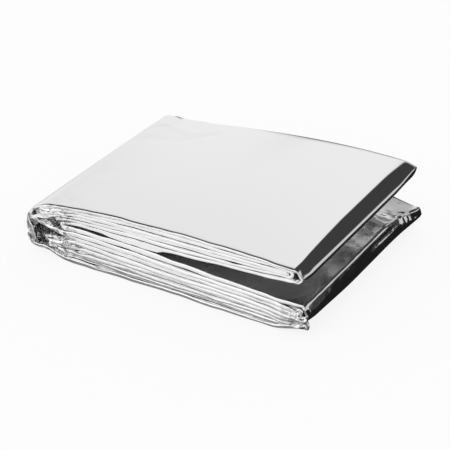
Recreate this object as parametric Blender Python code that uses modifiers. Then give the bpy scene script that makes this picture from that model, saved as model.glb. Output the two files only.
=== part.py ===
"""Emergency foil blanket, folded to a packet that lies half opened, like a book.

The sheet was halved four times across and four times along. The first four
folds make a long strip, whose layers lie together as one ply. The other folds
lay that ply back and forth: six plies in the raised upper leaf, eight in the
lower leaf, joined at the spine on the left and open at the mouth on the right.

Metres, +Z up. X runs from the spine to the mouth, Y from front to back.
"""

import math
from collections import namedtuple

import bmesh
import bpy

MM = 0.001

BLANKET_WIDTH = 1.6
HALVINGS_ACROSS = 4
PLY_DEPTH = BLANKET_WIDTH / 2**HALVINGS_ACROSS

PLY_GAP = 0.35 * MM
THINNEST_PLY = 1.0 * MM
FULLEST_PLY = 2.2 * MM
BOTTOM_PLY = 1.6 * MM
RIM_CHAMFER = 0.28 * MM
RIM_ANGLE = math.radians(62)

CORNER_LIFT = 2.8 * MM
CORNER_LIFT_FROM = 114 * MM
CORNER_LIFT_TO = 131 * MM
CORNER_LIFT_DEPTH = 40 * MM

TURN_STEPS = 4

# The packet's outline along X, in millimetres: the underside's height, the top
# of the lower leaf, the underside of the upper leaf and the top of the packet,
# all at the front edge, and how high the back edge is for each of its heights.
Station = namedtuple("Station", "along floor lower_top upper_base top back_share")
STATIONS = [
    Station(0, 2.9, 17.9, 13.8, 21.7, 1.04),
    Station(6, 2.2, 17.6, 14.0, 24.4, 0.98),
    Station(10, 1.2, 17.0, 16.4, 25.2, 0.94),
    Station(15, 0.1, 16.8, 17.5, 26.0, 0.92),
    Station(20, 0.0, 17.5, 18.5, 26.8, 0.91),
    Station(26, 0.0, 17.7, 18.8, 27.5, 0.90),
    Station(40, 0.0, 17.2, 18.9, 28.8, 0.92),
    Station(60, 0.0, 16.4, 19.3, 29.5, 0.97),
    Station(84, 0.0, 15.6, 20.3, 29.8, 1.02),
    Station(104, 0.0, 14.8, 21.4, 29.8, 1.04),
    Station(118, 0.0, 13.8, 22.4, 29.6, 1.04),
    Station(131, 0.0, 12.4, 23.2, 29.0, 1.03),
]

# Each ply's share of its leaf's height, from the top down, at the spine, in the
# middle and at the mouth. A share near nothing is a ply that has turned back,
# and the row named hollow is the empty space inside the spine. The last column
# is how far the ply's front fold stands back from the others, in millimetres.
Ply = namedtuple("Ply", "name leaf at_spine at_middle at_mouth front_edge")
PLIES = [
    Ply("upper_1", "upper", 1.4, 1.7, 1.4, 0.0),
    Ply("upper_2", "upper", 1.4, 1.8, 1.4, 0.5),
    Ply("upper_3", "upper", 1.4, 1.7, 0.5, 0.1),
    Ply("upper_4", "upper", 1.4, 1.5, 0.5, 0.6),
    Ply("upper_5", "upper", 1.4, 1.7, 1.4, 0.3),
    Ply("upper_6", "upper", 1.4, 1.6, 1.4, -0.1),
    Ply("lower_1", "lower", 1.2, 2.3, 1.6, 0.2),
    Ply("lower_2", "lower", 1.5, 2.4, 1.7, -0.2),
    Ply("hollow", "lower", 5.2, 0.0, 0.0, 0.0),
    Ply("lower_3", "lower", 1.35, 2.1, 1.7, 0.4),
    Ply("lower_4", "lower", 1.35, 2.2, 1.6, -0.1),
    Ply("lower_5", "lower", 1.35, 2.2, 1.6, 0.5),
    Ply("lower_6", "lower", 1.35, 2.1, 0.3, 0.0),
    Ply("lower_7", "lower", 1.35, 2.1, 0.3, 0.6),
    Ply("lower_8", "lower", 1.9, 2.0, 1.6, 0.1),
]
SPINE_LOFT = (4 * MM, 19 * MM)
MOUTH_LOFT = (112 * MM, 122 * MM)

# How unevenly the plies share their leaf's height, and how unevenly their front
# folds line up. Each ply's waves start PHASE_STEP further on than the last one's.
SHARE_WAVE = 0.09
SHARE_WAVE_LENGTH = 82 * MM
FRONT_STAND_BACK = 0.4 * MM
FRONT_WAVE = 0.25 * MM
FRONT_WAVE_LENGTH = 69 * MM
PHASE_STEP = 2.4

# Each fold of the strip, in millimetres: how far along X its tip lies, how far
# the fold reaches back into the ply above and below, how high between the two
# plies the tip is, and how square the fold is over and under its tip. The last
# columns are how much slacker it is over its tip away from the front, how far its
# tip flares at the front and at the back corner, and how far it rises to the back.
Turn = namedtuple(
    "Turn", "upper lower tip reach_above reach_below lean over under slack front back rise"
)
SPINE_TURNS = [
    Turn("upper_1", "lower_8", -3.4, 5.4, 3.6, 0.48, 1.8, 2.8, 0.0, 0.0, 0.6, 0.0),
    Turn("upper_2", "upper_3", 2.2, 0.8, 0.8, 0.50, 2.4, 2.4, 0.0, 0.0, 1.0, 0.0),
    Turn("upper_4", "lower_2", -1.6, 1.2, 0.9, 0.50, 2.4, 2.4, 0.0, 0.0, 2.0, 0.0),
    Turn("upper_6", "lower_1", 14.2, 0.9, 0.9, 0.50, 2.4, 2.4, 0.0, 0.0, -2.0, 0.0),
    Turn("lower_3", "lower_4", 5.2, 0.8, 0.8, 0.50, 2.4, 2.4, 0.0, 0.0, 2.5, 0.0),
    Turn("lower_5", "lower_6", 6.6, 0.8, 0.8, 0.50, 2.4, 2.4, 0.0, 0.0, -2.0, 0.0),
]
MOUTH_TURNS = [
    Turn("upper_1", "upper_6", 127.4, 1.6, 1.8, 0.34, 1.35, 2.4, 5.6, 0.5, 1.0, 0.18),
    Turn("upper_2", "upper_5", 119.6, 1.6, 1.6, 0.50, 2.4, 2.4, 0.0, 4.2, 0.0, 0.0),
    Turn("upper_3", "upper_4", 115.5, 0.9, 0.9, 0.50, 2.4, 2.4, 0.0, 4.0, 0.0, 0.0),
    Turn("lower_1", "lower_4", 131.2, 2.0, 2.0, 0.50, 2.6, 2.6, 0.0, 0.8, 1.2, 0.0),
    Turn("lower_2", "lower_3", 127.0, 0.9, 0.9, 0.50, 2.4, 2.4, 0.0, 0.0, 0.0, 0.0),
    Turn("lower_5", "lower_8", 125.6, 1.5, 1.5, 0.50, 2.6, 2.6, 0.0, 6.0, 0.0, 0.0),
    Turn("lower_6", "lower_7", 117.0, 0.8, 0.8, 0.50, 2.4, 2.4, 0.0, 6.0, 0.0, 0.0),
]
FRONT_FLARE_DEPTH = 7 * MM
BACK_FLARE_DEPTH = 18 * MM
SLACK_DEPTH = 70 * MM
SLACK_LOST_AT_BACK = 0.2

# The strip from one cut end to the other. Both ends lie inside the spine.
STRIP = [
    "upper_5",
    "upper_2",
    "upper_3",
    "upper_4",
    "lower_2",
    "lower_3",
    "lower_4",
    "lower_1",
    "upper_6",
    "upper_1",
    "lower_8",
    "lower_5",
    "lower_6",
    "lower_7",
]
CUT_END = {"upper_5": 11.5 * MM, "lower_7": 9 * MM}

DEPTH_STATIONS = [0.0, 0.045, 0.11, 0.30, 0.56, 0.82, 0.93, 1.0]
PLY_STATIONS = [3, 8, 12, 17, 22, 29, 40, 54, 69, 84, 98, 108, 116, 122]
CLEAR_OF_TURN = 1.2 * MM

FOIL_COLOUR = (0.86, 0.87, 0.88, 1.0)
FOIL_ROUGHNESS = 0.16


def smooth_step(value, start, end):
    """0 before start, 1 after end, and an even curve between them."""
    share = min(1.0, max(0.0, (value - start) / (end - start)))
    return share * share * (3 - 2 * share)


def along_stations(x, column):
    """A column of STATIONS at x, on a smooth curve through its values that never overshoots them."""
    places = [station.along * MM for station in STATIONS]
    values = [getattr(station, column) for station in STATIONS]
    rises = [(b - a) / (d - c) for a, b, c, d in zip(values, values[1:], places, places[1:])]
    slopes = [rises[0]]
    for before, after in zip(rises, rises[1:]):
        steepest = 2 * min(abs(before), abs(after)) if before * after > 0 else 0.0
        slopes.append(math.copysign(min(abs(before + after) / 2, steepest), before))
    slopes.append(rises[-1])
    x = min(max(x, places[0]), places[-1])
    i = max(k for k in range(len(places) - 1) if places[k] <= x)
    span = places[i + 1] - places[i]
    t = (x - places[i]) / span
    return (
        (2 * t**3 - 3 * t**2 + 1) * values[i]
        + (t**3 - 2 * t**2 + t) * span * slopes[i]
        + (3 * t**2 - 2 * t**3) * values[i + 1]
        + (t**3 - t**2) * span * slopes[i + 1]
    )


def ply_share(ply, x):
    """The ply's share of its leaf's height at x."""
    from_spine = smooth_step(x, *SPINE_LOFT)
    to_mouth = smooth_step(x, *MOUTH_LOFT)
    share = ply.at_spine + (ply.at_middle - ply.at_spine) * from_spine
    share += (ply.at_mouth - share) * to_mouth
    wave = math.sin(math.tau * x / SHARE_WAVE_LENGTH + PHASE_STEP * PLIES.index(ply))
    return share * (1 + SHARE_WAVE * wave * from_spine * (1 - to_mouth))


def front_corner(x, y):
    """1 at the mouth's front corner, where the packet lifts off the surface, and 0 far from it."""
    return smooth_step(x, CORNER_LIFT_FROM, CORNER_LIFT_TO) * (1 - smooth_step(y, 0, CORNER_LIFT_DEPTH))


def swell(x, y):
    """How high the stack stands at this depth, for each of its heights at the front edge."""
    return 1 + (along_stations(x, "back_share") - 1) * y / PLY_DEPTH


def ply_span(name, x, y):
    """The heights of the ply's upper and lower side at x, y, as its leaf shares them out."""
    leaf = name.split("_")[0]
    if leaf == "upper":
        low, high = along_stations(x, "upper_base"), along_stations(x, "top")
    else:
        low, high = along_stations(x, "floor"), along_stations(x, "lower_top")
    low, high = low * MM * swell(x, y), high * MM * swell(x, y)
    if leaf == "lower":
        low += CORNER_LIFT * front_corner(x, y)
    shares = {ply.name: ply_share(ply, x) for ply in PLIES if ply.leaf == leaf}
    order = list(shares)
    above = sum(shares[other] for other in order[: order.index(name)])
    scale = (high - low) / sum(shares.values())
    return high - above * scale, high - (above + shares[name]) * scale


def ply_middle(name, x, y):
    """The height of the ply's middle. The outermost plies lie against the packet's outline."""
    upper, lower = ply_span(name, x, y)
    fullness = ply_fullness(name, x, y)
    if name == "lower_8":
        return lower + fullness / 2
    if name == "upper_1":
        return upper - fullness / 2
    return (upper + lower) / 2


def ply_fullness(name, x, y):
    """The ply's thickness at x, y: its share of the stack, less the gap to the next ply."""
    if name == "lower_8":
        return BOTTOM_PLY
    upper, lower = ply_span(name, x, y)
    return min(FULLEST_PLY, max(THINNEST_PLY, upper - lower - PLY_GAP))


def turn_of(one, other, turns):
    """The fold that joins two plies, whichever of them comes first."""
    return next(turn for turn in turns if {turn.upper, turn.lower} == {one, other})


def turn_tip(turn, y):
    front = 1 - smooth_step(y, 0, FRONT_FLARE_DEPTH)
    back = smooth_step(y, PLY_DEPTH - BACK_FLARE_DEPTH, PLY_DEPTH)
    return (turn.tip + turn.front * front + turn.back * back) * MM


def turn_reaches(turn, y):
    """How far the fold reaches back into the ply above and into the ply below it."""
    slack = turn.slack * math.sqrt(min(1.0, y / SLACK_DEPTH))
    slack *= 1 - SLACK_LOST_AT_BACK * smooth_step(y, PLY_DEPTH - BACK_FLARE_DEPTH, PLY_DEPTH)
    return (turn.reach_above + slack) * MM, turn.reach_below * MM


def turn_points(turn, side, y, downwards):
    """The fold's line in the XZ plane, as two quarters that meet at its tip, with the ply's thickness."""
    tip = turn_tip(turn, y)
    above, below = turn_reaches(turn, y)
    top = ply_middle(turn.upper, tip - side * above, y)
    bottom = ply_middle(turn.lower, tip - side * below, y)
    middle = bottom + (top - bottom) * (turn.lean + turn.rise * y / PLY_DEPTH)
    full_top = ply_fullness(turn.upper, tip - side * above, y)
    full_bottom = ply_fullness(turn.lower, tip - side * below, y)
    points = []
    for step in range(2 * TURN_STEPS + 1):
        angle = math.pi * step / (2 * TURN_STEPS)
        upper_half = step < TURN_STEPS
        power = 2 / (turn.over if upper_half else turn.under)
        out = math.sin(angle) ** power
        rise = abs(math.cos(angle)) ** power
        reach = above if upper_half else below
        height = middle + rise * (top - middle) if upper_half else middle - rise * (middle - bottom)
        share = step / (2 * TURN_STEPS)
        fullness = full_top + (full_bottom - full_top) * share
        fullness = min(fullness, max(THINNEST_PLY, top - bottom - PLY_GAP))
        points.append((tip - side * reach * (1 - out), height, fullness))
    return points if downwards else points[::-1]


def ply_end(name, turn, side, y):
    """How far along X the ply's flat part runs before this fold takes over."""
    above, below = turn_reaches(turn, y)
    return turn_tip(turn, y) - side * (above if name == turn.upper else below)


def ply_neighbours(place):
    """The plies before and after this one along the strip, and the way it runs: 1 is to the mouth."""
    before = STRIP[place - 1] if place > 0 else None
    after = STRIP[place + 1] if place + 1 < len(STRIP) else None
    return before, after, 1 if place % 2 == 0 else -1


def ply_ends(place, y):
    """Where the ply's flat part starts and ends along X, in the order in which the strip runs."""
    name = STRIP[place]
    before, after, heading = ply_neighbours(place)
    ends = []
    for other, side in ((before, -heading), (after, heading)):
        if other is None:
            ends.append(CUT_END[name])
        else:
            turns = MOUTH_TURNS if side > 0 else SPINE_TURNS
            ends.append(ply_end(name, turn_of(name, other, turns), side, y))
    return ends


def ply_stations(place):
    """The places along X that the ply's flat part passes at every depth."""
    every_end = [ply_ends(place, share * PLY_DEPTH) for share in DEPTH_STATIONS]
    start = max(min(ends) for ends in every_end) + CLEAR_OF_TURN
    stop = min(max(ends) for ends in every_end) - CLEAR_OF_TURN
    return [x * MM for x in PLY_STATIONS if start < x * MM < stop]


def strip_section(y):
    """The whole strip's line at one depth: (x, z, thickness, ply) from one cut end to the other."""
    section = []
    for place, name in enumerate(STRIP):
        before, after, heading = ply_neighbours(place)
        start, stop = ply_ends(place, y)
        stations = ply_stations(place)[::heading]
        if before is None:
            stations = [start] + stations
        if after is None:
            stations = stations + [stop]
        for x in stations:
            section.append((x, ply_middle(name, x, y), ply_fullness(name, x, y), name))
        if after is not None:
            turns = MOUTH_TURNS if heading > 0 else SPINE_TURNS
            turn = turn_of(name, after, turns)
            for x, z, fullness in turn_points(turn, heading, y, name == turn.upper):
                section.append((x, z, fullness, name))
    return section


def front_edge(name, x):
    """How far the ply's front fold stands back from the packet's front, uneven along its length."""
    ply = next(ply for ply in PLIES if ply.name == name)
    wave = math.sin(math.tau * x / FRONT_WAVE_LENGTH + PHASE_STEP * PLIES.index(ply))
    return FRONT_STAND_BACK + ply.front_edge * MM + FRONT_WAVE * wave


def foil_material():
    material = bpy.data.materials.new("foil")
    material.use_nodes = True
    shader = material.node_tree.nodes["Principled BSDF"]
    shader.inputs["Base Color"].default_value = FOIL_COLOUR
    shader.inputs["Metallic"].default_value = 1.0
    shader.inputs["Roughness"].default_value = FOIL_ROUGHNESS
    return material


def blanket_surface():
    """The folded strip as an open surface: its sections from front to back, joined in turn."""
    shape = bmesh.new()
    weights = shape.verts.layers.deform.verify()
    rows = []
    for share in DEPTH_STATIONS:
        row = []
        for x, z, fullness, name in strip_section(share * PLY_DEPTH):
            front = front_edge(name, x)
            vert = shape.verts.new((x, front + share * (PLY_DEPTH - front), z))
            vert[weights][0] = fullness / FULLEST_PLY
            row.append(vert)
        rows.append(row)
    for front_row, back_row in zip(rows, rows[1:]):
        for i in range(len(front_row) - 1):
            shape.faces.new((front_row[i], front_row[i + 1], back_row[i + 1], back_row[i]))
    mesh = bpy.data.meshes.new("blanket")
    shape.to_mesh(mesh)
    shape.free()
    return mesh


def make_blanket(collection):
    mesh = blanket_surface()
    blanket = bpy.data.objects.new("blanket", mesh)
    collection.objects.link(blanket)
    blanket.vertex_groups.new(name="fullness")
    mesh.materials.append(foil_material())
    mesh.shade_smooth()

    solidify = blanket.modifiers.new("ply thickness", "SOLIDIFY")
    solidify.thickness = FULLEST_PLY
    solidify.offset = 0.0
    solidify.use_even_offset = True
    solidify.vertex_group = "fullness"
    solidify.thickness_vertex_group = 0.0

    rim = blanket.modifiers.new("rim", "BEVEL")
    rim.width = RIM_CHAMFER
    rim.segments = 1
    rim.limit_method = "ANGLE"
    rim.angle_limit = RIM_ANGLE
    return blanket


def seat_at_origin(blanket):
    """Puts the middle of the packet's footprint at the origin, with its underside at Z 0."""
    bpy.context.view_layer.update()
    evaluated = blanket.evaluated_get(bpy.context.evaluated_depsgraph_get())
    corners = [blanket.matrix_world @ vert.co for vert in evaluated.data.vertices]
    lowest = [min(corner[axis] for corner in corners) for axis in range(3)]
    highest = [max(corner[axis] for corner in corners) for axis in range(3)]
    blanket.location = (
        -(lowest[0] + highest[0]) / 2,
        -(lowest[1] + highest[1]) / 2,
        -lowest[2],
    )


def main():
    for item in list(bpy.data.objects):
        bpy.data.objects.remove(item)
    collection = bpy.data.collections.new("foil_blanket")
    bpy.context.scene.collection.children.link(collection)
    blanket = make_blanket(collection)
    seat_at_origin(blanket)


main()
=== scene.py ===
import math

import bpy
import numpy as np
from mathutils import Matrix, Vector


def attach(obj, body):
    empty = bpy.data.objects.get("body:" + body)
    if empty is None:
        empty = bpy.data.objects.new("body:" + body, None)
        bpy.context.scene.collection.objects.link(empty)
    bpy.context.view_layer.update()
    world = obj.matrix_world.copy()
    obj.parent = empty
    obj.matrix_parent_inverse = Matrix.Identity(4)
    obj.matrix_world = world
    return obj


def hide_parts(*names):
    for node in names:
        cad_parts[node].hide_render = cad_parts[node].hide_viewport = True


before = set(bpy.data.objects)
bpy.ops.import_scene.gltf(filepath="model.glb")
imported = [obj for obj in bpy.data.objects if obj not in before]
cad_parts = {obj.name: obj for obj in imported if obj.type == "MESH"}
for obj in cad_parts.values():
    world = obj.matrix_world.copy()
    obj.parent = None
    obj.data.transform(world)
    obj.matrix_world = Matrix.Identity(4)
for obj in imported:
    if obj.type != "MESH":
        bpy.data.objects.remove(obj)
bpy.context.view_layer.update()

mm = 0.001


# how the packet is folded: all lengths in millimetres, x from the spine to the mouth, y from front to back

packet = {
    "plyDepth": 100.0,
    "middle": (64.563, 50.008, 0.0),  # middle of the footprint, which stands on the frame's origin
    "plyGap": 0.09,
    "gapWaves": (0.12, 53, 1.9),  # how much wider the gaps get in places, how often, and the shift per ply
    "thinnest": 1.0,
    "fullest": 2.2,
    "bottomPly": 1.6,  # the lowest ply is at least this thick
    "spineLoft": (4, 19),  # where the plies' shares of the height change, at the spine
    "mouthLoft": (112, 122),  # and at the mouth
    "shareWave": 0.09,
    "shareWaveLength": 82,
    "phaseStep": 2.4,  # how far a ply's waves are shifted from its neighbour's
    "standBack": 0.4,
    "frontWave": 0.25,
    "frontWaveLength": 69,
    "edgeWaves": [(31, 0.16), (17, 0.11), (9.5, 0.06)],  # finer waves of the front edge: length and height
    "edgePhase": 1.7,
    "cornerLift": 2.8,  # the lower leaf's front corner at the mouth stands off the floor
    "cornerLiftAlong": (114, 131),
    "cornerLiftDepth": 40,
    "frontFlareDepth": 7,  # over these depths the folds' tips move in or out towards the front and the back
    "backFlareDepth": 18,
    "slackDepth": 42,  # a fold's slack grows over this depth
    "slackPower": 0.42,
    "slackLostAtBack": 0.3,
    "cutEnd": {"upper5": 11.5, "lower7": 9.0},  # where the strip's two free ends lie
    "tipRises": (74, 100),  # the depths where the upper fold's tip climbs towards the top film
    "sharpBack": (82, 99),  # the depths where the mouth's folds grow sharp
    "sharpShape": (1.15, 1.4),  # their upper and lower half at the back, as in "over" and "under" below
    "sharpThinning": 0.5,
    "bulgeIn": (0.34, 0.55),  # where the inner skin's bulge begins and ends, in shares round the fold
    "bulgeOut": (0.75, 0.95),
}

outline = {  # the packet's heights along x, at its front edge
    "along": [0, 6, 10, 15, 20, 26, 40, 60, 84, 104, 118, 131],
    "floor": [2.9, 2.2, 1.2, 0.1, 0, 0, 0, 0, 0, 0, 0, 0],
    "lowerTop": [17.9, 17.6, 17.0, 16.8, 17.5, 17.7, 17.2, 16.4, 15.6, 14.8, 13.8, 12.4],
    "upperBase": [13.8, 14.0, 16.4, 17.5, 18.5, 18.8, 18.9, 19.3, 20.3, 21.4, 22.4, 23.2],
    "top": [21.7, 24.4, 25.2, 26.0, 26.8, 27.5, 28.8, 29.5, 29.8, 29.8, 29.6, 29.0],
    "backShare": [1.04, 0.98, 0.94, 0.92, 0.91, 0.90, 0.92, 0.97, 1.02, 1.04, 1.04, 1.03],
}

curl = {  # the lower leaf's top film lifts towards the mouth, and the leaf's corner behind droops
    "ply": "lower1",
    "height": 1.7,
    "along": (114, 129),
    "inFromFront": (-7, 3),
    "outAtBack": (62, 97),
    "droop": 3.85,
    "droopAlong": (95, 131),
    "droopFrom": (70, 108),
}

plyColumns = ("leaf", "spine", "middle", "mouth", "front")  # shares of the leaf's height, and the stand back
plies = {  # from the top down
    "upper1": ("upper", 1.4, 1.7, 1.4, 0.0),
    "upper2": ("upper", 1.4, 1.8, 1.4, 0.5),
    "upper3": ("upper", 1.4, 1.7, 0.5, 0.1),
    "upper4": ("upper", 1.4, 1.5, 0.5, 0.6),
    "upper5": ("upper", 1.4, 1.7, 1.4, 0.3),
    "upper6": ("upper", 1.4, 1.6, 1.4, -0.1),
    "lower1": ("lower", 1.2, 2.3, 1.6, 0.2),
    "lower2": ("lower", 1.5, 2.4, 1.7, -0.2),
    "hollow": ("lower", 5.2, 0.0, 0.0, 0.0),  # the empty space inside the spine
    "lower3": ("lower", 1.35, 2.1, 1.7, 0.4),
    "lower4": ("lower", 1.35, 2.2, 1.6, -0.1),
    "lower5": ("lower", 1.35, 2.2, 1.6, 0.5),
    "lower6": ("lower", 1.35, 2.1, 0.3, 0.0),
    "lower7": ("lower", 1.35, 2.1, 0.3, 0.6),
    "lower8": ("lower", 1.9, 2.0, 1.6, 0.1),
}
plies = {name: dict(zip(plyColumns, row), place=i) for i, (name, row) in enumerate(plies.items())}

# the folds: "above" and "below" say how far back from its tip a fold leaves its plies, and "lean" how high
# the tip is between them; "over" and "under" shape its halves, where 2 is round and 1 is pointed; "slack"
# adds to "above" deeper in, "front" and "back" move the tip at the edges, "rise" adds to "lean" at the back
turnColumns = ("upper", "lower", "tip", "above", "below", "lean", "over", "under", "slack", "front", "back",
               "rise")
spineTurns = [
    ("upper1", "lower8", -3.4, 5.4, 3.6, 0.48, 1.8, 2.8, 0.0, 0.0, 0.6, 0.0),
    ("upper2", "upper3", 2.2, 0.8, 0.8, 0.50, 2.4, 2.4, 0.0, 0.0, 1.0, 0.0),
    ("upper4", "lower2", -1.6, 1.2, 0.9, 0.50, 2.4, 2.4, 0.0, 0.0, 2.0, 0.0),
    ("upper6", "lower1", 14.2, 0.9, 0.9, 0.50, 2.4, 2.4, 0.0, 0.0, -2.0, 0.0),
    ("lower3", "lower4", 5.2, 0.8, 0.8, 0.50, 2.4, 2.4, 0.0, 0.0, 2.5, 0.0),
    ("lower5", "lower6", 6.6, 0.8, 0.8, 0.50, 2.4, 2.4, 0.0, 0.0, -2.0, 0.0),
]
mouthTurns = [
    ("upper1", "upper6", 129.5, 2.4, 1.8, 0.36, 2.4, 1.2, 3.2, -0.7, -0.2, 0.40),
    ("upper2", "upper5", 119.6, 1.6, 1.6, 0.50, 2.4, 2.4, 0.0, 4.2, 0.0, 0.0),
    ("upper3", "upper4", 115.5, 0.9, 0.9, 0.50, 2.4, 2.4, 0.0, 6.6, 0.0, 0.0),
    ("lower1", "lower4", 131.2, 3.2, 2.0, 0.50, 2.6, 2.6, 0.0, -0.7, 1.2, 0.0),
    ("lower2", "lower3", 127.0, 0.9, 0.9, 0.50, 2.4, 2.4, 0.0, 0.0, 0.0, 0.0),
    ("lower5", "lower8", 125.6, 1.5, 1.5, 0.50, 2.6, 2.6, 0.0, 4.6, 0.0, 0.0),
    ("lower6", "lower7", 117.0, 0.8, 0.8, 0.50, 2.4, 2.4, 0.0, 6.0, 0.0, 0.0),
]
# some folds have corners, in from the tip and up from it as a share, with these segments between them;
# "gather" brings them nearer to the tip at the back, and "bulge" is the inner skin's
turnDetails = {
    ("upper1", "upper6"): {"corners": [(1.0, 0.36)], "segments": (6, 2)},
    ("lower1", "lower4"): {"corners": [(1.8, 1.0)], "segments": (2, 7), "gather": 0.5},
    ("upper1", "lower8"): {"bulge": 1.7},
}

strip = ["upper5", "upper2", "upper3", "upper4", "lower2", "lower3", "lower4",
         "lower1", "upper6", "upper1", "lower8", "lower5", "lower6", "lower7"]


def turnTable(rows):
    table = []
    for row in rows:
        turn = dict(zip(turnColumns, row), corners=[], segments=(), gather=0.0, bulge=0.0)
        turn.update(turnDetails.get((turn["upper"], turn["lower"]), {}))
        table.append(turn)
    return table


turns = {-1: turnTable(spineTurns), 1: turnTable(mouthTurns)}  # by side: -1 is the spine, 1 is the mouth


def smoothStep(value, start, end):
    share = np.clip((value - start) / (end - start), 0.0, 1.0)
    return share * share * (3 - 2 * share)


def alongOutline(x, column):  # a smooth curve through the column that never overshoots it
    places = np.array(outline["along"], float)
    values = np.array(outline[column], float)
    rises = np.diff(values) / np.diff(places)
    steepest = np.where(rises[:-1] * rises[1:] > 0, 2 * np.minimum(abs(rises[:-1]), abs(rises[1:])), 0)
    between = np.sign(rises[:-1]) * np.minimum(abs(rises[:-1] + rises[1:]) / 2, steepest)
    slopes = np.concatenate([rises[:1], between, rises[-1:]])
    x = np.clip(x, places[0], places[-1])
    i = np.clip(np.searchsorted(places, x, side="right") - 1, 0, len(places) - 2)
    span = places[i + 1] - places[i]
    t = (x - places[i]) / span
    return ((2 * t**3 - 3 * t**2 + 1) * values[i] + (t**3 - 2 * t**2 + t) * span * slopes[i]
            + (3 * t**2 - 2 * t**3) * values[i + 1] + (t**3 - t**2) * span * slopes[i + 1])


def plyShare(name, x):
    ply = plies[name]
    fromSpine = smoothStep(x, *packet["spineLoft"])
    toMouth = smoothStep(x, *packet["mouthLoft"])
    share = ply["spine"] + (ply["middle"] - ply["spine"]) * fromSpine
    share = share + (ply["mouth"] - share) * toMouth
    wave = np.sin(math.tau * x / packet["shareWaveLength"] + packet["phaseStep"] * ply["place"])
    return share * (1 + packet["shareWave"] * wave * fromSpine * (1 - toMouth))


def plySpan(name, x, y):  # heights of the ply's upper and lower side
    leaf = plies[name]["leaf"]
    low = alongOutline(x, "upperBase" if leaf == "upper" else "floor")
    high = alongOutline(x, "top" if leaf == "upper" else "lowerTop")
    swell = 1 + (alongOutline(x, "backShare") - 1) * y / packet["plyDepth"]
    low, high = low * swell, high * swell
    if leaf == "lower":
        corner = smoothStep(x, *packet["cornerLiftAlong"]) * (1 - smoothStep(y, 0, packet["cornerLiftDepth"]))
        low = low + packet["cornerLift"] * corner
        high = high - curl["droop"] * smoothStep(x, *curl["droopAlong"]) * smoothStep(y, *curl["droopFrom"])
    order = [other for other in plies if plies[other]["leaf"] == leaf]
    shares = {other: plyShare(other, x) for other in order}
    above = sum((shares[other] for other in order[:order.index(name)]), np.zeros_like(low))
    scale = (high - low) / sum(shares.values())
    return high - above * scale, high - (above + shares[name]) * scale


def plyFullness(name, x, y):
    upper, lower = plySpan(name, x, y)
    wider, length, shift = packet["gapWaves"]
    gap = packet["plyGap"] + wider * np.sin(math.tau * x / length + shift * plies[name]["place"]) ** 4
    thinnest = packet["bottomPly"] if name == "lower8" else packet["thinnest"]
    return np.clip(upper - lower - gap, thinnest, packet["fullest"])


def plyMiddle(name, x, y):
    upper, lower = plySpan(name, x, y)
    half = plyFullness(name, x, y) / 2
    if name == curl["ply"]:
        lift = smoothStep(x, *curl["along"]) * smoothStep(y, *curl["inFromFront"])
        return upper - half + curl["height"] * (lift * (1 - smoothStep(y, *curl["outAtBack"])))
    return {"lower8": lower + half, "upper1": upper - half}.get(name, (upper + lower) / 2)


def turnOf(one, other, side):
    return next(turn for turn in turns[side] if {turn["upper"], turn["lower"]} == {one, other})


def nearBack(y):
    return smoothStep(y, packet["plyDepth"] - packet["backFlareDepth"], packet["plyDepth"])


def turnTip(turn, y):
    front = 1 - smoothStep(y, 0, packet["frontFlareDepth"])
    return turn["tip"] + turn["front"] * front + turn["back"] * nearBack(y)


def turnReaches(turn, y):
    slack = turn["slack"] * min(1.0, y / packet["slackDepth"]) ** packet["slackPower"]
    return turn["above"] + slack * (1 - packet["slackLostAtBack"] * nearBack(y)), turn["below"]


def frontEdge(name, x):
    ply = plies[name]
    phase = packet["phaseStep"] * ply["place"]
    wave = packet["frontWave"] * np.sin(math.tau * x / packet["frontWaveLength"] + phase)
    for length, height in packet["edgeWaves"]:
        wave = wave + height * np.sin(math.tau * x / length + packet["edgePhase"] * phase + length)
    return packet["standBack"] + ply["front"] + wave


# the sheet: one closed skin round the folded strip, finer than the solid it stands for

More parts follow.
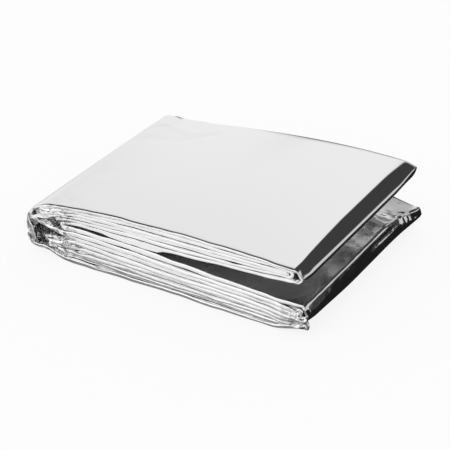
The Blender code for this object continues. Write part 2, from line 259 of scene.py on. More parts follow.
sheet = {
    "name": "foilBlanket",
    "flatSize": (0.100, 1.834),  # the strip as it is modelled, laid out flat
    "depthRows": [  # from this depth on, rows of points this far apart
        (0, 0.6), (2.4, 1.4), (8, 5.5), (30, 3.0), (60, 2.8), (79, 1.0), (95, 1.6),
    ],
    "spacing": {  # along a ply: near the spine, in its middle, near the mouth
        "upper1": (1.3, 1.9, 1.2),
        "upper6": (1.6, 3.4, 2.0),
        "lower1": (1.6, 3.4, 1.2),
        "lower8": (1.5, 3.8, 1.6),
    },
    "hiddenSpacing": (1.5, 4.6, 2.4),
    "spacingEnds": (32, 44, 100, 114),  # where the spacing changes
    "fewestSteps": 6,
    "turnSpacing": 1.2,
    "turnSteps": (5, 13),  # at least and at most in half a fold
    "rimSteps": 6,
    "rimReach": (0.36, 0.76),  # how far the rims stand out, by half the thickness: near the spine, elsewhere
    "rimReachAlong": (34, 78),
    "rimPower": 0.8,  # under 1 makes the rims squarer than a half circle
    "lips": 2.5,  # nested film folds that show in each rim
    "lipDepth": 0.11,
    "lipDrift": 44,  # the length over which the lips wander across the rim
    "groove": (0.6, 0.22, 0.14),  # in a bulging fold's rim: how deep by the bulge, where across, how wide
    "bulgeDepth": (3, 14),  # the inner skin's bulge fades over these depths
    "shoulder": (0.36, 1.7),  # how far the outer skin drops to its front edge, and over what depth
    "backShoulder": (0.25, 2.0),
    "shoulderAlong": (0, 5),  # where the shoulder starts along the top ply
    "noseFrom": 124,  # and where the film under the nose has it too
    "creaseFall": (1.6, 1.5),  # how steeply a crease falls away from its line
    "slitInset": 0.8,  # how far in from the front the slits' lines lie
    "clearOfFloor": (0.2, 2.5),  # film at the floor isn't crushed, film this high is
    "topFrom": 18,  # the top film is above this height, and stays smoother than the rest
    "topCrumple": 0.15,
    "topWrinkle": 0.08,
    "hollowAlong": 24,  # up to here the film inside the outermost plies is less wrinkled
    "hollowWrinkle": 0.3,
    "insideEnds": (104, 118),  # the film between the leaves is hazier, and has painted light: a brighter colour that lifts the shade there; both fade out between these places
}

creases = [  # ply, side, half width, height (under 0 is a trough), then the line's points
    ("upper1", "up", 3.0, -0.16, [(4, 70), (9, 73), (17, 75), (23, 75), (30, 82), (36, 87)]),
    ("upper1", "up", 2.6, -0.15, [(2, 79), (5, 85), (9, 88)]),
    ("upper1", "up", 5.0, 0.14, [(10, 90), (24, 86), (34, 92)]),
    ("upper1", "up", 3.5, -0.08, [(8, 22), (16, 18), (24, 20)]),
    ("upper1", "up", 3.5, -0.08, [(6, 38), (11, 34), (17, 37)]),
    ("lower1", "up", 4.5, 0.45, [(127, 21), (116, 29)]),
    ("lower1", "up", 4.5, -0.45, [(127, 32), (116, 41)]),
    ("lower1", "up", 4.0, 0.50, [(127, 43), (116, 50)]),
    ("lower1", "up", 4.0, -0.50, [(127, 57), (116, 62)]),
    ("lower1", "up", 2.4, 0.35, [(127.5, 62), (122, 66), (117, 70)]),
    ("lower1", "up", 4.0, 0.50, [(127.5, 69), (116, 78)]),
    ("lower1", "up", 1.3, -0.40, [(123.5, 79), (128.2, 77)]),
    ("lower1", "up", 1.2, 0.85, [(132.6, 81.8), (129.3, 84.1)]),
    ("lower1", "up", 1.2, 0.85, [(133.1, 85.2), (130.3, 87.3)]),
    ("lower1", "up", 1.2, 0.80, [(133.5, 88.6), (131.3, 90.4)]),
    ("lower1", "up", 1.6, -0.70, [(127.4, 86.0), (129.9, 90.0), (131.9, 95.0)]),
    ("lower1", "up", 0.9, 0.40, [(130.6, 57, 10.4), (131.0, 84, 10.2)]),  # along the fold's own face
    ("upper6", "down", 4.0, 1.00, [(39, 0), (62, 0)]),  # the leaves come together
    ("lower1", "up", 4.0, 0.45, [(39, 0), (62, 0)]),
    ("lower1", "up", 3.5, 0.50, [(52, 0), (62, 0)]),  # and touch
    ("upper6", "down", 3.5, 0.60, [(56, 0), (62, 0)]),
]

slits = [  # the plies above and below, from where to where their front folds part, how wide and how far
    ("upper1", "upper2", 29.5, 33.5, 1.6, 0.45),
    ("upper3", "upper4", 17.0, 19.5, 1.5, 0.45),
    ("upper5", "upper6", 15.8, 17.6, 1.4, 0.45),
    ("lower4", "lower5", 15.0, 22.0, 2.4, 0.75),
    ("lower5", "lower6", 21.0, 24.5, 2.0, 0.60),
    ("lower7", "lower8", 31.0, 36.0, 1.8, 0.50),
    ("lower6", "lower7", 97.0, 103.0, 1.6, 0.35),
    ("lower7", "lower8", 108.0, 112.0, 1.8, 0.45),
    ("upper4", "upper5", 96.0, 101.0, 1.6, 0.25),
    ("lower2", "lower3", 108.0, 116.0, 1.8, 0.40),
]
creases += [(ply, side, width, -depth, [(start, sheet["slitInset"]), (stop, sheet["slitInset"])])
            for above, below, start, stop, width, depth in slits
            for ply, side in ((above, "down"), (below, "up"))]

# where the film is crushed: along x, y and z from the number where it starts to the number where it is full,
# with None for everywhere, and how much
crumple = {
    "spineFront": ((26, 5), (13, 1.5), None, 1.0),
    "spineWall": ((4, -2), None, None, 0.12),
    "mouthFront": ((119, 129), (4, 0.5), (18, 11), 0.8),
    "noseFront": ((120, 126), (3, 0.5), (20, 24), 0.25),
}
wrinkle = {  # where its fine wrinkles are, in the same way
    "spine": ((24, 8), (16, 4), None, 1.0),
    "spineDeep": ((24, 8), (70, 30), None, 0.3),
    "spineWall": ((6, 0), None, None, 0.16),
    "mouthFront": ((117, 129), (3, 1), (12.5, 10.5), 1.0),
    "nose": ((118, 127), (3, 0.5), (20, 24), 0.4),
    "all": (None, None, None, 0.04),
}


def segmentDistance(points, start, end):  # in the xy plane, or in space where the crease has heights
    points = points[:, :len(start)]
    start, along = np.array(start, float), np.array(end, float) - np.array(start, float)
    share = np.clip((points - start) @ along / (along @ along), 0, 1)
    return np.linalg.norm(points - start - share[:, None] * along, axis=1)


def relief(plyOf, facing, x, y, z):  # how far the creases lift each point
    steepness, power = sheet["creaseFall"]
    lift = np.zeros_like(x)
    for ply, side, width, height, line in creases:
        on = (plyOf == plies[ply]["place"]) & (facing == (1 if side == "up" else -1))
        if on.any():
            points = np.stack([x[on], y[on], z[on]], axis=1)
            near = np.min([segmentDistance(points, a, b) for a, b in zip(line, line[1:])], axis=0)
            lift[on] += height * np.exp(-(near / width * steepness) ** power)
    return lift


def regionMask(regions, x, y, z):
    mask = np.zeros_like(x)
    for *spans, amount in regions.values():
        here = np.full_like(x, amount)
        for value, span in zip((x, y, z), spans):
            if span:
                here = here * smoothStep(value, *span)
        mask = np.maximum(mask, here)
    return mask


def turnSteps(turn, side):  # steps in each half of a fold, by its size
    if turn["segments"]:
        return sum(turn["segments"])
    deepIn = packet["plyDepth"] / 2
    above, below = turnReaches(turn, deepIn)
    top = float(plyMiddle(turn["upper"], turn["tip"] - side * above, deepIn))
    bottom = float(plyMiddle(turn["lower"], turn["tip"] - side * below, deepIn))
    steps = round((top - bottom + above + below) / sheet["turnSpacing"] / 2)
    return int(np.clip(steps, *sheet["turnSteps"]))


def turnPoints(turn, side, y, downwards):  # from ply to ply: x, z, thickness, the inner skin's bulge
    tip = turnTip(turn, y)
    above, below = turnReaches(turn, y)
    xTop, xBottom = tip - side * above, tip - side * below
    top = float(plyMiddle(turn["upper"], xTop, y))
    bottom = float(plyMiddle(turn["lower"], xBottom, y))
    lean = turn["lean"] + turn["rise"] * float(smoothStep(y, *packet["tipRises"]))
    tipHeight = bottom + (top - bottom) * lean
    share = np.linspace(0, 1, 2 * turn["steps"] + 1)
    upperHalf = share < 0.5
    sharp = float(smoothStep(y, *packet["sharpBack"])) if side > 0 else 0
    sharpOver, sharpUnder = packet["sharpShape"]
    over = turn["over"] + (sharpOver - turn["over"]) * sharp
    under = turn["under"] + (sharpUnder - turn["under"]) * sharp
    power = 2 / np.where(upperHalf, over, under)
    out = np.sin(math.pi * share) ** power
    rise = np.abs(np.cos(math.pi * share)) ** power
    x = tip - side * np.where(upperHalf, above, below) * (1 - out)
    z = np.where(upperHalf, tipHeight + rise * (top - tipHeight), tipHeight - rise * (tipHeight - bottom))
    if turn["corners"]:  # flat bands between sharp creases
        nearer = 1 - turn["gather"] * sharp
        bends = [(xTop, top)]
        for inwards, up in turn["corners"]:
            bends.append((tip - side * inwards * nearer, tipHeight + (top - tipHeight) * up))
        bends.append((tip, tipHeight))
        steps, ends = np.arange(turn["steps"]), np.cumsum((0,) + turn["segments"])
        x[upperHalf] = np.interp(steps, ends, [bend[0] for bend in bends])
        z[upperHalf] = np.interp(steps, ends, [bend[1] for bend in bends])
    bulge = turn["bulge"] * smoothStep(share, *packet["bulgeIn"])
    bulge = bulge * (1 - smoothStep(share, *packet["bulgeOut"]))
    fullTop = float(plyFullness(turn["upper"], xTop, y))
    fullBottom = float(plyFullness(turn["lower"], xBottom, y))
    fullness = fullTop + (fullBottom - fullTop) * share
    fullness = np.minimum(fullness, max(packet["thinnest"], top - bottom - packet["plyGap"]))
    fullness = fullness * (1 - packet["sharpThinning"] * sharp * out)
    points = np.stack([x, z, fullness, bulge])
    return points if downwards else points[:, ::-1]


def headingOf(place):  # the strip's plies run to the mouth and back to the spine in turn
    return 1 if place % 2 == 0 else -1


def plyEnds(place, y):
    name, heading = strip[place], headingOf(place)
    ends = []
    for other, side in ((place - 1, -heading), (place + 1, heading)):
        if 0 <= other < len(strip):
            turn = turnOf(name, strip[other], side)
            above, below = turnReaches(turn, y)
            ends.append(turnTip(turn, y) - side * (above if name == turn["upper"] else below))
        else:
            ends.append(packet["cutEnd"][name])
    return ends


def plyPlaces(place):  # where the ply's points lie between its ends, closest where the most shows
    start, stop = plyEnds(place, packet["plyDepth"] / 2)
    nearSpine, middle, nearMouth = sheet["spacing"].get(strip[place], sheet["hiddenSpacing"])
    samples = 400
    x = np.linspace(start, stop, samples)
    a, b, c, d = sheet["spacingEnds"]
    apart = nearSpine + (middle - nearSpine) * smoothStep(x, a, b)
    apart = apart + (nearMouth - apart) * smoothStep(x, c, d)
    passed = np.concatenate([[0], np.cumsum(abs(stop - start) / (samples - 1) / apart[:-1])])
    count = max(sheet["fewestSteps"], round(passed[-1]))
    return np.interp(np.linspace(0, passed[-1], count + 1), passed, np.linspace(0, 1, samples))


# the strip's line at one depth, as rows: x, z, thickness, the inner skin's bulge, front edge, ply, heading
def stripSection(y, shares):
    parts = []
    for place, name in enumerate(strip):
        heading = headingOf(place)
        start, stop = plyEnds(place, y)
        kept = shares[place][(0 if place == 0 else 1):(None if place + 1 == len(strip) else -1)]
        x = start + (stop - start) * kept
        parts.append((x, plyMiddle(name, x, y), plyFullness(name, x, y), 0, frontEdge(name, x),
                      plies[name]["place"], heading))
        if place + 1 < len(strip):
            after = strip[place + 1]
            turn = turnOf(name, after, heading)
            x, z, fullness, bulge = turnPoints(turn, heading, y, name == turn["upper"])
            share = np.linspace(0, 1, len(x))
            edge = frontEdge(name, x) * (1 - share) + frontEdge(after, x) * share
            parts.append((x, z, fullness, bulge, edge,
                          np.where(share < 0.5, plies[name]["place"], plies[after]["place"]),
                          np.where(share < 0.5, heading, -heading)))
    return np.concatenate([np.stack(np.broadcast_arrays(*part)) for part in parts], axis=1)


def outerDrop(y, front, outermost):  # the outer skin rounds down to the front and back edges
    drop, width = sheet["shoulder"]
    backDrop, backWidth = sheet["backShoulder"]
    fromFront = np.clip(1 - (y - front) / width, 0, 1) ** 2
    fromBack = np.clip(1 - (packet["plyDepth"] - y) / backWidth, 0, 1) ** 2
    return -(drop * fromFront + backDrop * fromBack) * outermost


def depthRows():
    stops = [start for start, apart in sheet["depthRows"][1:]] + [packet["plyDepth"]]
    depths = []
    for (start, apart), stop in zip(sheet["depthRows"], stops):
        count = max(1, round((stop - start) / apart))
        depths += [start + (stop - start) * i / count for i in range(count)]
    return depths + [packet["plyDepth"]]


# every point's place, and the values its material and its crumpling read, along the strip and round it
def sheetPoints():
    for side, table in turns.items():
        for turn in table:
            turn["steps"] = turnSteps(turn, side)
    shares = [plyPlaces(place) for place in range(len(strip))]
    depths = depthRows()
    sections = np.stack([stripSection(y, shares) for y in depths])
    lineX, lineZ, fullness, bulge, edges, plyOf, headings = sections.transpose(1, 0, 2)
    edge, plyOf, headings = edges[0], plyOf[0], headings[0]
    half = fullness / 2
    runX, runZ = np.gradient(lineX, axis=1), np.gradient(lineZ, axis=1)
    run = np.maximum(np.hypot(runX, runZ), 1e-9)
    outX, outZ = -runZ / run, runX / run  # square to the line, up where it runs to the mouth
    along = np.cumsum(np.hypot(runX[0], runZ[0]))
    nose = (plyOf == plies["upper6"]["place"]) & (lineX[0] > sheet["noseFrom"])
    outermost = ((plyOf == plies["upper1"]["place"]) | nose).astype(float)
    outermost = outermost * smoothStep(lineX[0], *sheet["shoulderAlong"])
    least, most = sheet["rimReach"]
    reach = least + (most - least) * smoothStep(lineX[0], *sheet["rimReachAlong"])
    rimFront, rimBack = half[0] * reach, half[-1] * reach
    front, back = edge + rimFront, packet["plyDepth"] - rimBack
    angles = (np.arange(sheet["rimSteps"]) + 0.5) / sheet["rimSteps"] * math.pi / 2

    def skinPoint(j, skin, across, y, rim, depth):
        facing = headings * skin
        lift = relief(plyOf, facing, lineX[j], y, lineZ[j])
        if skin < 0:  # the skin that is outside in the outermost plies
            lift = lift + outerDrop(y, edge, outermost)
        else:
            lift = lift + bulge[j] * (1 - smoothStep(y, *sheet["bulgeDepth"]))
        offset = skin * across * (half[j] + lift)
        return np.stack(np.broadcast_arrays(lineX[j] + outX[j] * offset, y, lineZ[j] + outZ[j] * offset,
                                            along, depth, skin * across, rim, plyOf, facing))

    def rimPoint(j, skin, angle):  # the front rim is at the first depth and the back rim at the last
        across, out = math.sin(angle) ** sheet["rimPower"], math.cos(angle) ** sheet["rimPower"]
        wave = np.cos(math.pi * sheet["lips"] * skin * across + along / sheet["lipDrift"])
        lip = 1 - sheet["lipDepth"] * (1 + wave) / 2
        if j == 0:
            amount, middle, width = sheet["groove"]
            groove = amount * bulge[0] * math.exp(-((skin * across - middle) / width) ** 2)
            return skinPoint(j, skin, across, front - rimFront * out * lip + groove, 1, across - 1)
        return skinPoint(j, skin, across, back + rimBack * out * lip, 1, packet["plyDepth"] + 1 - across)

    loops = []
    for skin in (1, -1):
        column = [rimPoint(0, skin, angle) for angle in angles]
        for j, depth in enumerate(depths):
            y = front + depth / packet["plyDepth"] * (back - front)
            column.append(skinPoint(j, skin, 1.0, y, 0, depth))
        column += [rimPoint(-1, skin, angle) for angle in angles[::-1]]
        loops.append(column if skin > 0 else column[::-1])
    points = np.stack(loops[0] + loops[1])  # round the loop, then the values, then along the strip
    names = ("x", "y", "z", "along", "depth", "across", "rim", "ply", "facing")
    return dict(zip(names, points.transpose(1, 2, 0)))


def buildSheet():
    at = sheetPoints()
    x, y, z = at["x"], at["y"], at["z"]
    count, around = x.shape
    index = np.arange(count * around).reshape(count, around)
    here, there = index[:-1], index[1:]
    quads = np.stack([here, np.roll(here, -1, axis=1), np.roll(there, -1, axis=1), there], axis=-1)
    faces = quads.reshape(-1, 4).tolist()
    for row, flip in ((index[0], 1), (index[-1], -1)):  # closes the strip's two free ends
        for k in range(around // 2 - 1):
            faces.append([row[k], row[around - 1 - k], row[around - 2 - k], row[k + 1]][::flip])
    places = (np.stack([x, y, z], axis=-1) - np.array(packet["middle"])).reshape(-1, 3) * mm
    mesh = bpy.data.meshes.new(sheet["name"])
    mesh.from_pydata(places.tolist(), [], faces)
    mesh.shade_smooth()

    def onPly(name):
        return at["ply"] == plies[name]["place"]

    facingUp = at["facing"] > 0
    topFilm = onPly("upper1") & facingUp & (z > sheet["topFrom"])
    hollowFilm = (onPly("upper1") | onPly("lower8")) & (at["across"] > 0) & (x < sheet["hollowAlong"])
    crushed = regionMask(crumple, x, y, z) * smoothStep(z, *sheet["clearOfFloor"])
    crushed = crushed * np.where(topFilm, sheet["topCrumple"], 1.0)
    wrinkled = regionMask(wrinkle, x, y, z) * np.where(topFilm, sheet["topWrinkle"], 1.0)
    wrinkled = np.where(hollowFilm, sheet["hollowWrinkle"] * wrinkled, wrinkled)
    # painted light: the film facing into the gap between the leaves is marked for a brighter colour, lifting
    # the shade there, and for a hazier finish
    betweenLeaves = (onPly("lower1") & facingUp) | (onPly("upper6") & ~facingUp)
    inside = betweenLeaves * (1 - smoothStep(x, *sheet["insideEnds"]))
    stripPlace = np.stack([at["along"], at["depth"], at["across"]], axis=-1)
    layers = {"crumple": crushed, "wrinkle": wrinkled, "inside": inside, "foldedEdge": at["rim"]}
    for name, values in layers.items():
        layer = mesh.attributes.new(name, "FLOAT", "POINT")
        layer.data.foreach_set("value", values.astype(np.float32).ravel())
    layer = mesh.attributes.new("stripPlace", "FLOAT_VECTOR", "POINT")
    layer.data.foreach_set("vector", stripPlace.astype(np.float32).ravel())
    piece = bpy.data.objects.new(sheet["name"], mesh)
    bpy.context.scene.collection.objects.link(piece)
    print(f"sheet: {count} places along the strip, {around} points round it, {len(faces) * 2} triangles")
    return piece


# nodes: an input takes another node's output or a plain value

def plug(tree, socket, value):
    if isinstance(value, bpy.types.NodeSocket):
        tree.links.new(value, socket)
    else:
        socket.default_value = value


def addNode(tree, kind, inputs=None, **settings):
    node = tree.nodes.new(kind)
    for name, value in settings.items():
        setattr(node, name, value)
    for name, value in (inputs or {}).items():
        plug(tree, node.inputs[name], value)
    return node


def mathNode(tree, operation, *values):
    return addNode(tree, "ShaderNodeMath", dict(enumerate(values)), operation=operation).outputs[0]


def vectorNode(tree, operation, inputs):
    return addNode(tree, "ShaderNodeVectorMath", inputs, operation=operation).outputs[0]


def newGroup(name, kind, inputs, outputs):
    tree = bpy.data.node_groups.new(name, kind)
    for direction, sockets in (("INPUT", inputs), ("OUTPUT", outputs)):
        for socket, socketKind in sockets.items():
            tree.interface.new_socket(socket, in_out=direction, socket_type="NodeSocket" + socketKind)
    return tree, addNode(tree, "NodeGroupInput").outputs, addNode(tree, "NodeGroupOutput").inputs


crush = {  # sizes and depths in metres
    "Fold size": 0.0075,
    "Fold depth": 0.0034,
    "Crinkle size": 0.0030,
    "Crinkle depth": 0.0008,
    "Detail": 1.5,
    "Distortion": 0.6,
    "Seed": 3.0,
    "Edge share": 0.4,  # a face takes the folded edge's finish from this share of rim points on
}


def pointValue(tree, name):
    named = addNode(tree, "GeometryNodeInputNamedAttribute", {"Name": name}, data_type="FLOAT")
    return named.outputs["Attribute"]


def filmCrumple():  # crushes the film by a masked noise, and gives the faces and the edges their finish
    sockets = {"Geometry": "Geometry", **{name: "Float" for name in crush}}
    sockets.update({"Film": "Material", "Folded edge": "Material"})
    tree, given, result = newGroup("filmCrumple", "GeometryNodeTree", sockets, {"Geometry": "Geometry"})
    place = addNode(tree, "GeometryNodeInputPosition").outputs[0]
    mask = pointValue(tree, "crumple")
    moves = {}
    for kind, seedShift in (("Fold", 0), ("Crinkle", 5)):
        noise = addNode(tree, "ShaderNodeTexNoise", {
            "Vector": place,
            "W": mathNode(tree, "ADD", given["Seed"], seedShift),
            "Scale": mathNode(tree, "DIVIDE", 1.0, given[kind + " size"]),
            "Detail": given["Detail"],
            "Distortion": given["Distortion"],
        }, noise_dimensions="4D")
        centred = vectorNode(tree, "SUBTRACT", {0: noise.outputs["Color"], 1: (0.5, 0.5, 0.5)})
        depth = mathNode(tree, "MULTIPLY", given[kind + " depth"], mask)
        moves[len(moves)] = vectorNode(tree, "SCALE", {0: centred, "Scale": depth})
    moved = vectorNode(tree, "ADD", moves)
    crushed = addNode(tree, "GeometryNodeSetPosition", {"Geometry": given["Geometry"], "Offset": moved})
    real = addNode(tree, "GeometryNodeRealizeInstances", {"Geometry": crushed.outputs["Geometry"]})
    film = addNode(tree, "GeometryNodeSetMaterial", {
        "Geometry": real.outputs["Geometry"],
        "Material": given["Film"],
    })
    edge = addNode(tree, "GeometryNodeSetMaterial", {
        "Geometry": film.outputs["Geometry"],
        "Selection": mathNode(tree, "GREATER_THAN", pointValue(tree, "foldedEdge"), given["Edge share"]),
        "Material": given["Folded edge"],
    })
    plug(tree, result["Geometry"], edge.outputs["Geometry"])
    return tree


def applyTree(piece, tree, values):  # runs the tree on the piece and keeps the result as a plain mesh
    modifier = piece.modifiers.new(tree.name, "NODES")
    modifier.node_group = tree
    for socket in tree.interface.items_tree:
        if socket.in_out == "INPUT" and socket.name in values:
            modifier[socket.identifier] = values[socket.name]
    result = piece.evaluated_get(bpy.context.evaluated_depsgraph_get())
    mesh = bpy.data.meshes.new_from_object(result)
    piece.modifiers.remove(modifier)
    old, piece.data = piece.data, mesh
    name = old.name
    bpy.data.meshes.remove(old)
    mesh.name = name


# the film: mirror-like, with fine wrinkles, the edges of its layers and a little wear, and painted light that
# brightens it between the leaves

foil = {
    "colour": (0.885, 0.885, 0.888, 1.0),
    # painted light: a brighter colour for the film between the leaves, lifting the shade there
    "paintedLightInsideColour": (0.935, 0.935, 0.938, 1.0),
    "roughness": 0.05,
    "insideRoughness": 0.24,
    "edgeRoughness": 0.09,
    "rubScale": 45.0,  # uneven patches of wear
    "rubRoughness": 0.05,
    "wrinkleSize": 0.0042,
    "wrinkleDepth": 0.0016,
    "bendScale": 0.5,  # how fine the bends in the facets' edges are, and how far they go, by the facets' own
    "bendReach": 2.0,
    "edgeWrinkle": 0.05,
    "lineDepth": 0.00012,
    "lineStretch": (0.11, 0.6, 1.9),  # the layers' lines are long along the strip and close across it
}


def filmWrinkles():  # facets of crumpled film, as a height in metres
    sockets = {"Vector": "Vector", "Size": "Float", "Depth": "Float"}
    tree, given, result = newGroup("filmWrinkles", "ShaderNodeTree", sockets, {"Height": "Float"})
    scale = mathNode(tree, "DIVIDE", 1.0, given["Size"])
    bend = addNode(tree, "ShaderNodeTexNoise", {
        "Vector": given["Vector"],
        "Scale": mathNode(tree, "MULTIPLY", scale, foil["bendScale"]),
        "Detail": 2.0,
    })
    reach = mathNode(tree, "MULTIPLY", given["Size"], foil["bendReach"])
    bent = vectorNode(tree, "SCALE", {0: bend.outputs["Color"], "Scale": reach})
    place = vectorNode(tree, "ADD", {0: given["Vector"], 1: bent})
    facets = addNode(tree, "ShaderNodeTexVoronoi", {"Vector": place, "Scale": scale})
    height = mathNode(tree, "ADD", facets.outputs["Distance"], bend.outputs["Fac"])
    plug(tree, result["Height"], mathNode(tree, "MULTIPLY", height, given["Depth"]))
    return tree


def layerLines():  # the edges of the film's layers, which run along a fold, as a height in metres
    sockets = {"Strip place": "Vector", "Depth": "Float"}
    tree, given, result = newGroup("layerLines", "ShaderNodeTree", sockets, {"Height": "Float"})
    stretch = addNode(tree, "ShaderNodeMapping", {
        "Vector": given["Strip place"],
        "Scale": foil["lineStretch"],
    })
    noise = addNode(tree, "ShaderNodeTexNoise", {
        "Vector": stretch.outputs[0],
        "Scale": 1.0,
        "Detail": 3.0,
        "Roughness": 0.6,
    })
    plug(tree, result["Height"], mathNode(tree, "MULTIPLY", noise.outputs["Fac"], given["Depth"]))
    return tree


def attribute(tree, name):
    return addNode(tree, "ShaderNodeAttribute", attribute_name=name).outputs


def foilMaterial(name, groups, edge):
    material = bpy.data.materials.new(name)
    material.use_nodes = True
    tree = material.node_tree
    place = addNode(tree, "ShaderNodeTexCoord").outputs["Object"]
    depth = mathNode(tree, "MULTIPLY", attribute(tree, "wrinkle")["Fac"], foil["wrinkleDepth"])
    depth = mathNode(tree, "ADD", depth, foil["wrinkleDepth"] * (foil["edgeWrinkle"] if edge else 0.0))
    wrinkles = addNode(tree, "ShaderNodeGroup", node_tree=groups["wrinkles"], inputs={
        "Vector": place,
        "Size": foil["wrinkleSize"],
        "Depth": depth,
    })
    lines = addNode(tree, "ShaderNodeGroup", node_tree=groups["lines"], inputs={
        "Strip place": attribute(tree, "stripPlace")["Vector"],
        "Depth": foil["lineDepth"] if edge else 0.0,
    })
    height = mathNode(tree, "ADD", wrinkles.outputs["Height"], lines.outputs["Height"])
    bump = addNode(tree, "ShaderNodeBump", {"Distance": 1.0, "Height": height})
    # painted light: between the leaves the colour is mixed towards a brighter one, lifting the shade there;
    # the same mask also makes the film hazier
    inside = attribute(tree, "inside")["Fac"]
    colour = addNode(tree, "ShaderNodeMix", data_type="RGBA", inputs={
        "Factor": inside,
        6: foil["colour"],  # the two colours' sockets share their names with others, so they go by number
        7: foil["paintedLightInsideColour"],
    })
    rough = foil["edgeRoughness"] if edge else foil["roughness"]
    haze = mathNode(tree, "MULTIPLY_ADD", inside, foil["insideRoughness"] - rough, rough)
    rub = addNode(tree, "ShaderNodeTexNoise", {"Vector": place, "Scale": foil["rubScale"]})
    worn = mathNode(tree, "MULTIPLY_ADD", rub.outputs["Fac"], foil["rubRoughness"], haze)
    shader = tree.nodes["Principled BSDF"]
    plug(tree, shader.inputs["Base Color"], colour.outputs[2])
    plug(tree, shader.inputs["Metallic"], 1.0)
    plug(tree, shader.inputs["Roughness"], worn)
    plug(tree, shader.inputs["Normal"], bump.outputs["Normal"])
    return material


# the studio: what the foil mirrors is set by direction and place, and the camera sees a plain pale floor

studio = {
    "cameraPale": 1.0,  # how bright the room is to the camera, as soft light, and in the foil between panels
    "softLight": 0.95,
    "darkRoom": 0.045,
    "panels": {  # brightness, then for each side the mirrored ray's axis, where it is gone and where full
        "behind": (0.77, [("X", -0.20, -0.31), ("Y", 0.44, 0.60), ("Z", 0.30, 0.42)]),
        "behindLow": (0.44, [("X", -0.53, -0.46), ("X", 0.26, 0.18), ("Y", 0.66, 0.78), ("Z", 0.42, 0.30),
                             ("Z", 0.22, 0.29)]),
        "behindLeft": (0.77, [("X", -0.46, -0.53), ("Y", 0.40, 0.56), ("Z", 0.42, 0.30)]),
        "behindRight": (0.44, [("X", -0.31, -0.20), ("X", 0.26, 0.18), ("Y", 0.60, 0.72), ("Z", 0.30, 0.42),
                               ("Z", 0.51, 0.42)]),
        "behindHigh": (0.12, [("X", -0.20, -0.31), ("Y", 0.62, 0.80)]),
        "behindBand": (0.40, [("Y", 0.92, 0.96), ("Z", 0.29, 0.22)]),
        "ceiling": (0.42, [("Z", 0.55, 0.70), ("Y", 0.28, 0.08), ("X", 0.10, -0.10)]),
        "front": (0.66, [("Y", -0.16, -0.36)]),
        "frontBand": (0.48, [("Y", -0.16, -0.36), ("Z", 0.82, 0.50), ("Z", -0.15, 0.05),
                             ("X", -0.05, -0.25)]),
        "left": (0.55, [("X", -0.72, -0.82), ("Y", 0.5, 0.3)]),
        "mouth": (0.62, [("X", 0.42, 0.50), ("Y", 0.30, 0.42), ("Z", 0.12, 0.18), ("Z", 0.48, 0.42)]),
        "right": (0.30, [("X", 0.70, 0.80), ("Y", 0.5, 0.3), ("Z", 0.2, 0.3)]),
    },
    "floorBright": 0.90,
    "floorPatches": {  # brightness, then the sides in the same way, by the place on the floor in metres
        "behind": (0.20, [("Y", 0.03, 0.055), ("Y", 0.16, 0.10), ("X", -0.085, -0.06)]),
        "left": (0.38, [("X", -0.056, -0.066), ("X", -0.17, -0.12), ("Y", -0.078, -0.058),
                        ("Y", 0.08, 0.05)]),
        "mouth": (0.01, [("X", 0.045, 0.062), ("X", 2.6, 1.8), ("Y", -0.085, -0.06), ("Y", 2.6, 1.8)]),
        # painted shadow: a narrow dark strip in the floor's mirrored image, under the packet's edges
        "under": (0.25, [("X", -0.078, -0.072), ("X", 0.066, 0.061), ("Y", -0.059, -0.054),
                         ("Y", 0.06, 0.055)]),
    },
    "floorColour": (0.93, 0.93, 0.93, 1.0),
    "floorGlow": 0.85,  # how much of the floor's paleness is its own
    "floorSize": 6.0,
    "floorBelow": 0.0003,  # keeps it clear of the film's underside
    "bounces": 24,
}


def sidesMask(tree, axes, sides):  # 1 inside all the sides, 0 outside any
    mask = None
    for axis, gone, full in sides:
        side = addNode(tree, "ShaderNodeMapRange", {"Value": axes[axis], "From Min": gone, "From Max": full},
                       interpolation_type="SMOOTHSTEP").outputs["Result"]
        mask = side if mask is None else mathNode(tree, "MULTIPLY", mask, side)
    return mask


def axesOf(tree, coordinates):
    place = addNode(tree, "ShaderNodeTexCoord").outputs[coordinates]
    return addNode(tree, "ShaderNodeSeparateXYZ", {0: place}).outputs


def mixNumbers(tree, share, a, b):
    mix = addNode(tree, "ShaderNodeMix", {"Factor": share, "A": a, "B": b}, data_type="FLOAT")
    return mix.outputs["Result"]


def setWorld():
    world = bpy.data.worlds.new("studio")
    bpy.context.scene.world = world
    world.use_nodes = True
    tree = world.node_tree
    tree.nodes.clear()
    direction = axesOf(tree, "Generated")
    mirrored = studio["darkRoom"]
    for brightness, sides in studio["panels"].values():
        mirrored = mathNode(tree, "MULTIPLY_ADD", sidesMask(tree, direction, sides), brightness, mirrored)
    path = addNode(tree, "ShaderNodeLightPath").outputs
    plain = mathNode(tree, "MULTIPLY_ADD", path["Is Camera Ray"],
                     studio["cameraPale"] - studio["softLight"], studio["softLight"])
    seen = mixNumbers(tree, path["Is Glossy Ray"], plain, mirrored)
    background = addNode(tree, "ShaderNodeBackground", {"Color": seen})
    addNode(tree, "ShaderNodeOutputWorld", {"Surface": background.outputs[0]})


def mixShaders(tree, share, a, b):
    return addNode(tree, "ShaderNodeMixShader", {"Fac": share, 1: a.outputs[0], 2: b.outputs[0]})


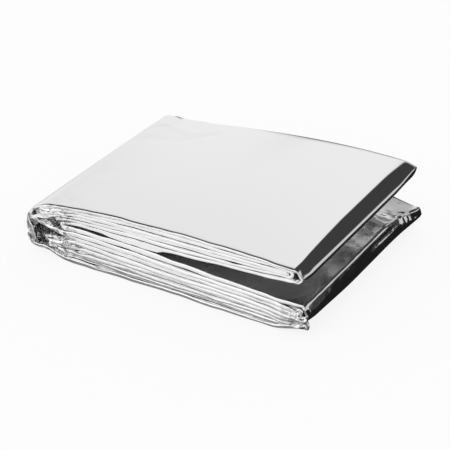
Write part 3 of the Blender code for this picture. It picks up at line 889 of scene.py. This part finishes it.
def floorMaterial():
    material = bpy.data.materials.new("paleFloor")
    material.use_nodes = True
    tree = material.node_tree
    tree.nodes.clear()
    place = axesOf(tree, "Object")
    brightness = studio["floorBright"]
    for patch, sides in studio["floorPatches"].values():
        brightness = mixNumbers(tree, sidesMask(tree, place, sides), brightness, patch)
    mirrored = addNode(tree, "ShaderNodeEmission", {"Color": brightness})
    paint = addNode(tree, "ShaderNodeBsdfDiffuse", {"Color": studio["floorColour"]})
    glow = addNode(tree, "ShaderNodeEmission", {"Color": (1, 1, 1, 1)})
    plain = mixShaders(tree, studio["floorGlow"], paint, glow)
    seen = mixShaders(tree, addNode(tree, "ShaderNodeLightPath").outputs["Is Glossy Ray"], plain, mirrored)
    addNode(tree, "ShaderNodeOutputMaterial", {"Surface": seen.outputs[0]})
    return material


def addFloor():
    far, down = studio["floorSize"] / 2, -studio["floorBelow"]
    corners = [(-far, -far, down), (far, -far, down), (far, far, down), (-far, far, down)]
    mesh = bpy.data.meshes.new("floor")
    mesh.from_pydata(corners, [], [(0, 1, 2, 3)])
    mesh.materials.append(floorMaterial())
    floor = bpy.data.objects.new("floor", mesh)
    bpy.context.scene.collection.objects.link(floor)


view = {
    "azimuth": 32.22,
    "elevation": 30.04,
    "roll": -1.31,
    "distance": 609.4,
    "aim": (68.84, 41.62, 12.0),  # in the packet's own millimetres
    "lens": 115.77,
    "sensor": 36.0,
    "nearest": 0.01,
}


def addCamera():
    a, e, r = (math.radians(view[name]) for name in ("azimuth", "elevation", "roll"))
    back = Vector((math.sin(a) * math.cos(e), -math.cos(a) * math.cos(e), math.sin(e)))
    right = Vector((math.cos(a), math.sin(a), 0.0))
    up = back.cross(right)
    right, up = right * math.cos(r) + up * math.sin(r), up * math.cos(r) - right * math.sin(r)
    camera = bpy.data.objects.new("camera", bpy.data.cameras.new("camera"))
    bpy.context.scene.collection.objects.link(camera)
    camera.matrix_world = Matrix((right, up, back)).transposed().to_4x4()
    camera.location = (Vector(view["aim"]) - Vector(packet["middle"]) + back * view["distance"]) * mm
    camera.data.sensor_width = view["sensor"]
    camera.data.lens = view["lens"]
    camera.data.clip_start = view["nearest"]
    bpy.context.scene.camera = camera


addCamera()
setWorld()
addFloor()
bpy.context.scene.view_settings.view_transform = "Standard"
bpy.context.scene.cycles.max_bounces = studio["bounces"]
bpy.context.scene.cycles.glossy_bounces = studio["bounces"]
print("camera, studio and floor: done")

blanket = buildSheet()
groups = {"wrinkles": filmWrinkles(), "lines": layerLines()}
foilFilm = foilMaterial("foilFilm", groups, False)
foilFoldedEdge = foilMaterial("foilFoldedEdge", groups, True)
applyTree(blanket, filmCrumple(), {**crush, "Film": foilFilm, "Folded edge": foilFoldedEdge})
print("sheet: crumpled, with", len(blanket.data.materials), "finishes")
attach(blanket, "root")
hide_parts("blanket")
